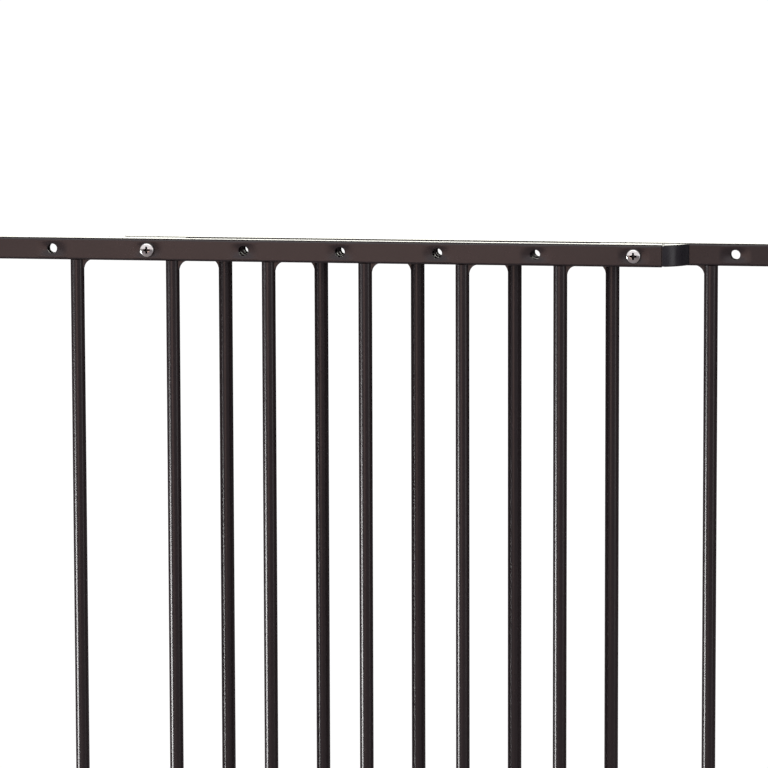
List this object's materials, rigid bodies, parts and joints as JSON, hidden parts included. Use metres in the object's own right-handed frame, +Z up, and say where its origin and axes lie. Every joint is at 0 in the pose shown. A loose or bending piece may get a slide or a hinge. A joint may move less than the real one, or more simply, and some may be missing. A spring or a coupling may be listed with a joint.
{
  "type": "pet gate",
  "caption": "Hinged metal pet gate of two overlapping barred panels whose width is set by screws in a row of holes, with a sliding latch and wall brackets.",
  "frame": {"origin": "on the hinge wall, midway between the two wall screw holes of the lower hinge bracket", "axes": "+X along the closed gate from the hinge wall to the latch wall, +Y from the front of the gate to its back, +Z up"},
  "size_m": [0.928, 0.0446, 0.7985],
  "materials": {
    "powder_coated_steel": "semi-gloss dark brown powder coat",
    "guide_plastic": "satin moulded",
    "zinc_plated_steel": "bright zinc plate",
    "bright_steel": "turned, zinc plated",
    "bush_plastic": "natural nylon",
    "slider_plastic": "satin moulded",
    "moulded_plastic": "fine spark-textured moulding"
  },
  "bodies": {
    "wall_hinges": {"hinge_pin_caps": "moulded_plastic", "lower_hinge_bracket": "moulded_plastic", "lower_hinge_pin": "bright_steel", "upper_hinge_bracket": "moulded_plastic", "upper_hinge_pin": "bright_steel"},
    "front_panel": {"front_bar_1": "powder_coated_steel", "front_bar_2": "powder_coated_steel", "front_bar_3": "powder_coated_steel", "front_bar_4": "powder_coated_steel", "front_bar_5": "powder_coated_steel", "front_bar_6": "powder_coated_steel", "front_bar_7": "powder_coated_steel", "front_bar_8": "powder_coated_steel", "front_bar_9": "powder_coated_steel", "front_clamp_nuts": "zinc_plated_steel", "front_clamp_screws": "zinc_plated_steel", "front_corner_webs": "powder_coated_steel", "front_lower_guide": "guide_plastic", "front_lower_rail": "powder_coated_steel", "front_upper_guide": "guide_plastic", "front_upper_rail": "powder_coated_steel", "hinge_eye_screws": "zinc_plated_steel", "lower_hinge_bush": "bush_plastic", "lower_hinge_eye": "moulded_plastic", "upper_hinge_bush": "bush_plastic", "upper_hinge_eye": "moulded_plastic"},
    "rear_panel": {"latch_case_back": "moulded_plastic", "latch_case_front": "moulded_plastic", "latch_case_screws": "zinc_plated_steel", "latch_tongue_screw": "zinc_plated_steel", "lower_latch_tongue": "moulded_plastic", "rear_bar_1": "powder_coated_steel", "rear_bar_2": "powder_coated_steel", "rear_bar_3": "powder_coated_steel", "rear_bar_4": "powder_coated_steel", "rear_bar_5": "powder_coated_steel", "rear_bar_6": "powder_coated_steel", "rear_bar_7": "powder_coated_steel", "rear_bar_8": "powder_coated_steel", "rear_bar_9": "powder_coated_steel", "rear_clamp_nuts": "zinc_plated_steel", "rear_clamp_screws": "zinc_plated_steel", "rear_corner_webs": "powder_coated_steel", "rear_lower_guide": "guide_plastic", "rear_lower_rail": "powder_coated_steel", "rear_upper_guide": "guide_plastic", "rear_upper_rail": "powder_coated_steel"},
    "latch_slide": {"latch_bolt": "bright_steel", "latch_thumb_slider": "slider_plastic"},
    "latch_keepers": {"lower_keeper": "moulded_plastic", "upper_keeper": "moulded_plastic"}
  },
  "joints": [
    {"name": "swing", "type": "hinge", "parent": "wall_hinges", "child": "front_panel", "pos_m": [0.024, 0, 0], "axis": [0, 0, -1], "range_deg": [0, 90]},
    {"name": "width_adjust", "type": "slide", "parent": "front_panel", "child": "rear_panel", "axis": [1, 0, 0], "range_m": [-0.192, 0.192]},
    {"name": "latch_slide", "type": "slide", "parent": "rear_panel", "child": "latch_slide", "axis": [1, 0, 0], "range_m": [0, 0.012]},
    {"name": "keepers_stay", "type": "hinge", "parent": "rear_panel", "child": "latch_keepers", "pos_m": [0.024, 0, 0], "axis": [0, 0, -1], "range_deg": [-90, 0]}
  ],
  "couplings": [
    {"joint": "keepers_stay", "follows": "swing", "ratio": -1}
  ]
}
